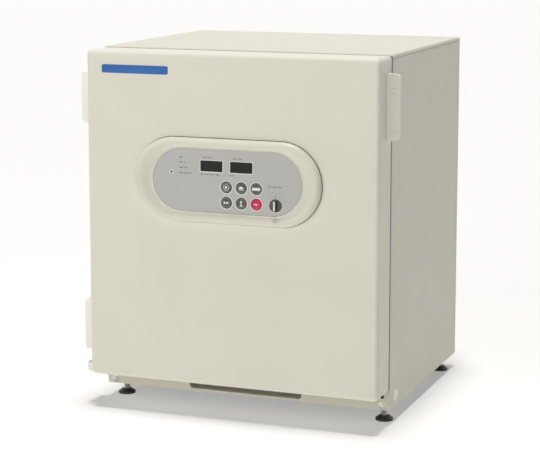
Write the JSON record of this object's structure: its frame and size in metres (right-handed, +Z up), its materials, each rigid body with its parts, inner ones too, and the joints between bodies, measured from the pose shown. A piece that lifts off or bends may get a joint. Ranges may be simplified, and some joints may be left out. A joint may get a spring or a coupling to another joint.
{
  "type": "laboratory incubator",
  "caption": "Bench-top CO2 incubator: insulated outer door with oval control panel over an inner glass door, stainless chamber with shelves, water pan and fan, on levelling feet.",
  "frame": {"origin": "on the floor under the middle of the whole object's box", "axes": "+Z up, +X towards the handle side, -Y out of the front"},
  "size_m": [0.516, 0.548, 0.575],
  "materials": {
    "bezel_plastic": "satin",
    "black_plastic": "satin",
    "cabinet_coat": "satin",
    "circuit_board": "satin",
    "clear_glass": "gloss",
    "door_coat": "satin",
    "foam": "matte",
    "foot_plastic": "satin",
    "frame_plastic": "satin",
    "gasket_rubber": "matte",
    "grip_plastic": "satin",
    "heater_foil": "matte",
    "key_grey": "satin",
    "key_red": "satin",
    "liner_plastic": "satin",
    "motor_metal": "satin",
    "nickel_brass": "satin",
    "overlay_film": "satin",
    "screw_steel": "satin",
    "silicone": "satin",
    "smoked_window": "gloss",
    "stainless": "satin",
    "zinc_steel": "satin"
  },
  "bodies": {
    "cabinet": {"side_panel_left": "cabinet_coat", "side_panel_right": "cabinet_coat", "top_panel": "cabinet_coat", "back_panel": "cabinet_coat", "base_pan": "zinc_steel", "front_rail": "cabinet_coat", "corner_brackets": "cabinet_coat", "cabinet_screws": "screw_steel", "side_plug": "grip_plastic", "front_frame": "frame_plastic", "inner_chamber": "stainless", "chamber_heaters": "heater_foil", "insulation": "foam", "shelf_supports": "stainless", "duct_cover": "stainless", "chamber_sensors": "screw_steel", "fan_motor": "motor_metal", "rear_housing": "cabinet_coat", "rear_spacers": "gasket_rubber", "main_board": "circuit_board", "gas_unit": "nickel_brass", "gas_inlets": "nickel_brass", "power_inlet": "black_plastic", "access_port_sleeve": "frame_plastic", "hinge_cabinet_leaves": "zinc_steel", "inner_hinge_brackets": "stainless"},
    "outer_door": {"door_shell": "door_coat", "door_liner": "liner_plastic", "door_insulation": "foam", "door_gasket": "gasket_rubber", "door_handle": "grip_plastic", "hinge_door_leaves": "zinc_steel", "hinge_covers": "grip_plastic", "control_housing": "black_plastic", "control_board": "circuit_board", "panel_bezel": "bezel_plastic", "panel_overlay": "overlay_film", "display_windows": "smoked_window"},
    "inner_door": {"inner_glass": "clear_glass", "inner_door_seal": "silicone", "inner_door_knob": "motor_metal", "inner_door_hinges": "stainless"},
    "gas_selector": {"gas_selector_knob": "black_plastic"},
    "pan": {"humidity_pan": "stainless"},
    "fan": {"fan_impeller": "black_plastic"},
    "rocker": {"power_rocker": "black_plastic"},
    "port_plug": {"access_port_plug": "silicone"},
    "key_1": {"button_1": "key_grey"},
    "key_2": {"button_2": "key_grey"},
    "key_3": {"button_3": "key_grey"},
    "key_4": {"button_4": "key_grey"},
    "key_5": {"button_5": "key_grey"},
    "key_6": {"button_6": "key_red"},
    "tray_1": {"shelf_1": "stainless"},
    "tray_2": {"shelf_2": "stainless"},
    "tray_3": {"shelf_3": "stainless"},
    "leg_front_left": {"foot_front_left": "foot_plastic"},
    "leg_front_right": {"foot_front_right": "foot_plastic"},
    "leg_rear_left": {"foot_rear_left": "foot_plastic"},
    "leg_rear_right": {"foot_rear_right": "foot_plastic"}
  },
  "joints": [
    {"name": "outer_door_hinge", "type": "hinge", "parent": "cabinet", "child": "outer_door", "pos_m": [-0.248, -0.216, 0.3145], "axis": [0, 0, -1], "range_deg": [0, 115]},
    {"name": "inner_door_hinge", "type": "hinge", "parent": "cabinet", "child": "inner_door", "pos_m": [-0.2, -0.2065, 0.2975], "axis": [0, 0, -1], "range_deg": [0, 92]},
    {"name": "key_1_press", "type": "slide", "parent": "outer_door", "child": "key_1", "axis": [0, 1, 0], "range_m": [0, 0.0008], "stiffness_N_per_m": 600, "springref_m": -0.001},
    {"name": "key_2_press", "type": "slide", "parent": "outer_door", "child": "key_2", "axis": [0, 1, 0], "range_m": [0, 0.0008], "stiffness_N_per_m": 600, "springref_m": -0.001},
    {"name": "key_3_press", "type": "slide", "parent": "outer_door", "child": "key_3", "axis": [0, 1, 0], "range_m": [0, 0.0008], "stiffness_N_per_m": 600, "springref_m": -0.001},
    {"name": "key_4_press", "type": "slide", "parent": "outer_door", "child": "key_4", "axis": [0, 1, 0], "range_m": [0, 0.0008], "stiffness_N_per_m": 600, "springref_m": -0.001},
    {"name": "key_5_press", "type": "slide", "parent": "outer_door", "child": "key_5", "axis": [0, 1, 0], "range_m": [0, 0.0008], "stiffness_N_per_m": 600, "springref_m": -0.001},
    {"name": "key_6_press", "type": "slide", "parent": "outer_door", "child": "key_6", "axis": [0, 1, 0], "range_m": [0, 0.0008], "stiffness_N_per_m": 600, "springref_m": -0.001},
    {"name": "gas_selector_turn", "type": "hinge", "parent": "outer_door", "child": "gas_selector", "pos_m": [0.0778, -0.267, 0.3465], "axis": [0, 1, 0], "range_deg": [-30, 30]},
    {"name": "tray_1_slide", "type": "slide", "parent": "cabinet", "child": "tray_1", "axis": [0, -1, 0], "range_m": [0, 0.034]},
    {"name": "tray_2_slide", "type": "slide", "parent": "cabinet", "child": "tray_2", "axis": [0, -1, 0], "range_m": [0, 0.034]},
    {"name": "tray_3_slide", "type": "slide", "parent": "cabinet", "child": "tray_3", "axis": [0, -1, 0], "range_m": [0, 0.034]},
    {"name": "pan_slide", "type": "slide", "parent": "cabinet", "child": "pan", "axis": [0, -1, 0], "range_m": [0, 0.034]},
    {"name": "fan_spin", "type": "hinge", "parent": "cabinet", "child": "fan", "pos_m": [0, 0.176, 0.35], "axis": [0, 1, 0], "continuous": true},
    {"name": "power_rocker_tilt", "type": "hinge", "parent": "cabinet", "child": "rocker", "pos_m": [0.14, 0.264, 0.158], "axis": [0, 0, -1], "range_deg": [0, 16]},
    {"name": "port_plug_pull", "type": "slide", "parent": "cabinet", "child": "port_plug", "axis": [0, 1, 0], "range_m": [0, 0.03]},
    {"name": "leg_front_left_height", "type": "slide", "parent": "cabinet", "child": "leg_front_left", "axis": [0, 0, -1], "range_m": [0, 0.01]},
    {"name": "leg_front_right_height", "type": "slide", "parent": "cabinet", "child": "leg_front_right", "axis": [0, 0, -1], "range_m": [0, 0.01]},
    {"name": "leg_rear_left_height", "type": "slide", "parent": "cabinet", "child": "leg_rear_left", "axis": [0, 0, -1], "range_m": [0, 0.01]},
    {"name": "leg_rear_right_height", "type": "slide", "parent": "cabinet", "child": "leg_rear_right", "axis": [0, 0, -1], "range_m": [0, 0.01]}
  ],
  "couplings": [
    {"joint": "inner_door_hinge", "follows": "outer_door_hinge", "ratio": 0.8}
  ]
}
